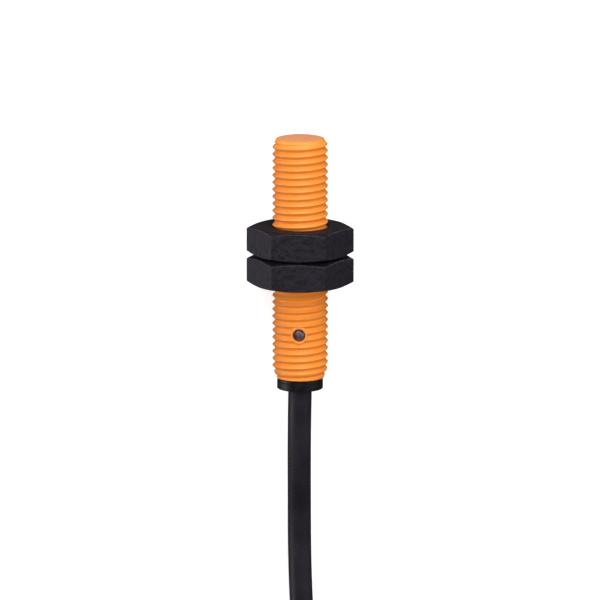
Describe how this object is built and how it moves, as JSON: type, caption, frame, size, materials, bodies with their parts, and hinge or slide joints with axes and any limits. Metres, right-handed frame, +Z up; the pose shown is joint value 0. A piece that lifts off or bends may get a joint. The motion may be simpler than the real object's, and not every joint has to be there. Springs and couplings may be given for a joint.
{
  "type": "photoelectric sensor",
  "caption": "Slim threaded cylindrical photoelectric sensor with two hexagon lock nuts, an indicator window and a tied flying lead with bare cores.",
  "frame": {"origin": "on the floor under the middle of the sensor, cable left out; the sensor lies on the lower flats of its two nuts", "axes": "+Y along the barrel towards the sensing face, +Z up towards the indicator window, +X to the right seen from above"},
  "size_m": [0.0304, 0.1731, 0.02],
  "materials": {
    "orange_plastic": "matte",
    "window_plastic": "matte",
    "nut_plastic": "matte",
    "gland_plastic": "matte",
    "cable_sheath": "matte",
    "indicator_lens": "gloss",
    "lens_plastic": "gloss",
    "holder_plastic": "matte",
    "emitter_plastic": "gloss",
    "receiver_plastic": "gloss",
    "board_laminate": "satin",
    "component_black": "matte",
    "capacitor_ceramic": "satin",
    "led_body": "satin",
    "seal_rubber": "matte",
    "potting_resin": "satin",
    "core_brown": "satin",
    "core_blue": "satin",
    "core_black": "satin",
    "ferrule_metal": "satin",
    "tie_plastic": "satin"
  },
  "bodies": {
    "barrel_and_cable": {"housing": "orange_plastic", "front_window": "window_plastic", "optic_holder": "holder_plastic", "emitter_lens": "lens_plastic", "receiver_lens": "lens_plastic", "emitter_diode": "emitter_plastic", "receiver_diode": "receiver_plastic", "circuit_board": "board_laminate", "signal_chip": "component_black", "output_transistor": "component_black", "supply_capacitor": "capacitor_ceramic", "led_resistor": "component_black", "indicator_led": "led_body", "indicator_window": "indicator_lens", "rear_gland": "gland_plastic", "gland_seal": "seal_rubber", "potting_plug": "potting_resin", "core_brown": "core_brown", "core_blue": "core_blue", "core_black": "core_black", "cable_lead": "cable_sheath", "cable_hank": "cable_sheath", "hank_tie": "tie_plastic", "end_core_brown": "core_brown", "end_core_blue": "core_blue", "end_core_black": "core_black", "ferrule_brown": "ferrule_metal", "ferrule_blue": "ferrule_metal", "ferrule_black": "ferrule_metal"},
    "front_lock_nut": {"front_nut": "nut_plastic"},
    "rear_lock_nut": {"rear_nut": "nut_plastic"}
  },
  "joints": [
    {"name": "front_nut_travel", "type": "slide", "parent": "barrel_and_cable", "child": "front_lock_nut", "axis": [0, 1, 0], "range_m": [0, 0.011]},
    {"name": "rear_nut_travel", "type": "slide", "parent": "barrel_and_cable", "child": "rear_lock_nut", "axis": [0, -1, 0], "range_m": [0, 0.012]}
  ]
}
